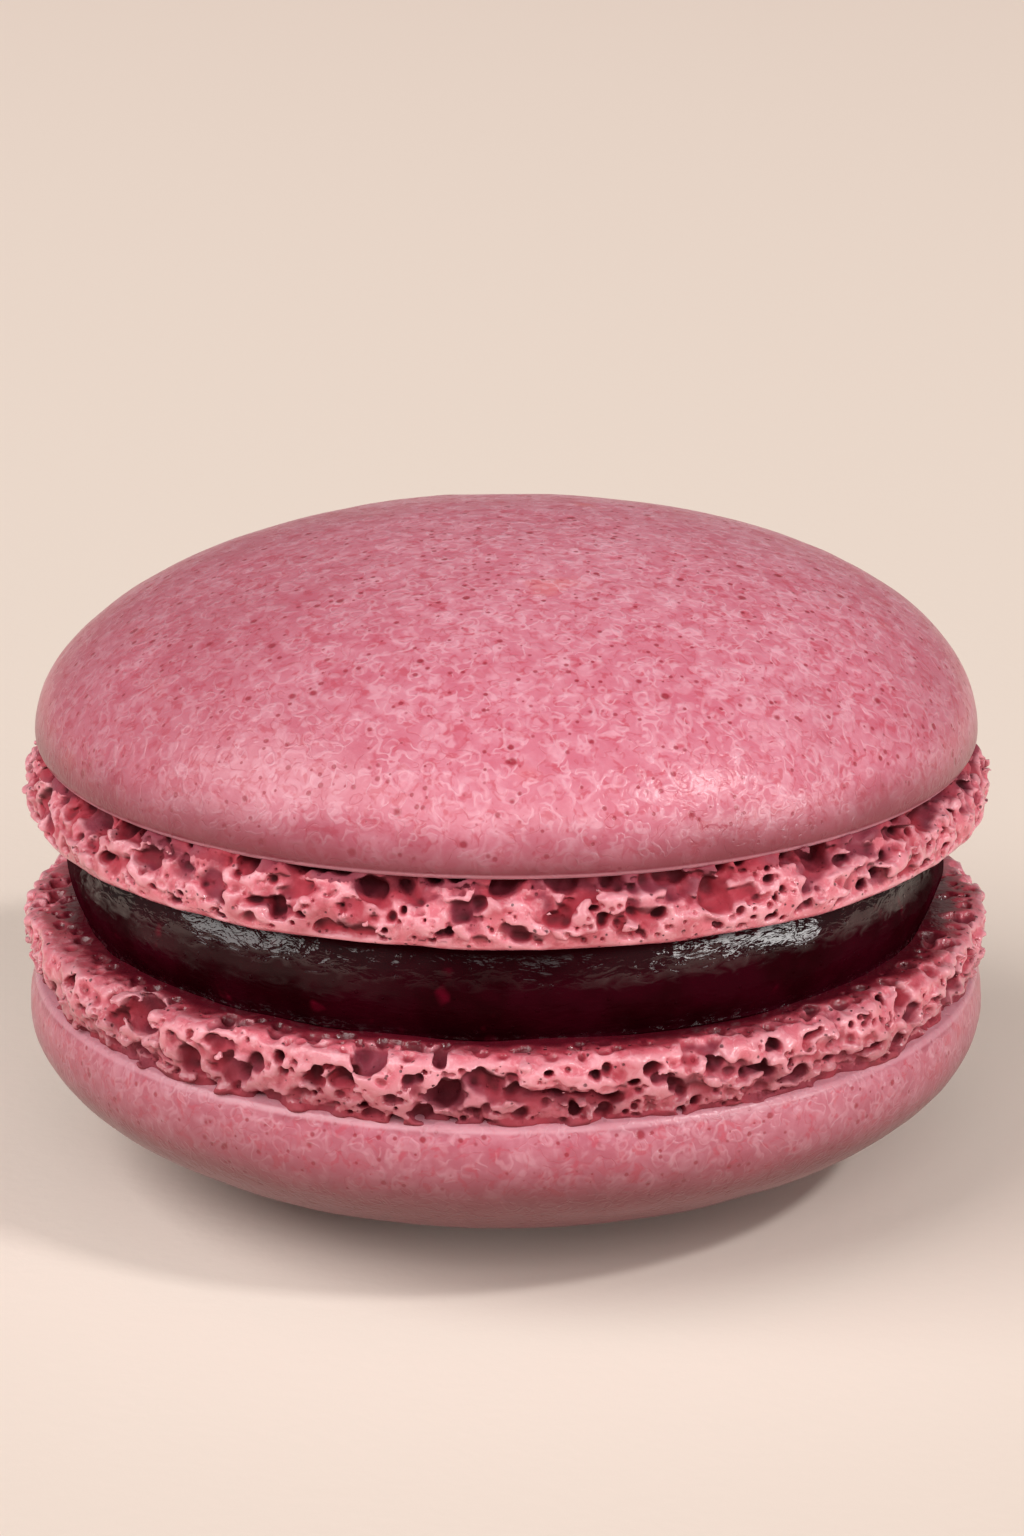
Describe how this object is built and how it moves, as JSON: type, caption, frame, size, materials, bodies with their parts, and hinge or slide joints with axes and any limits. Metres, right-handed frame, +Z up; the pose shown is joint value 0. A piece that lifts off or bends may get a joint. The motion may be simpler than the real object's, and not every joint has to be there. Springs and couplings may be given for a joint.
{
  "type": "french macaron",
  "caption": "Round almond-meringue sandwich biscuit: two smooth domed shells with frilled porous feet, and a bulging layer of dark berry jam between them.",
  "frame": {"origin": "centre of the small flat spot that the lower shell rests on, under the middle of the biscuit", "axes": "+Z up through both shells and the jam; -Y is the side that the picture shows, with +X to its right"},
  "size_m": [0.0488, 0.0486, 0.0322],
  "materials": {
    "upper_shell": "satin baked pink almond meringue, finely mottled, with dark red specks and a coral porous foot",
    "lower_shell": "satin baked pink almond meringue, finely mottled, with dark red specks and a coral porous foot",
    "jam": "wet dark burgundy berry jam"
  },
  "bodies": {
    "root": {"upper_shell": "upper_shell", "jam_filling": "jam", "lower_shell": "lower_shell"}
  },
  "joints": []
}
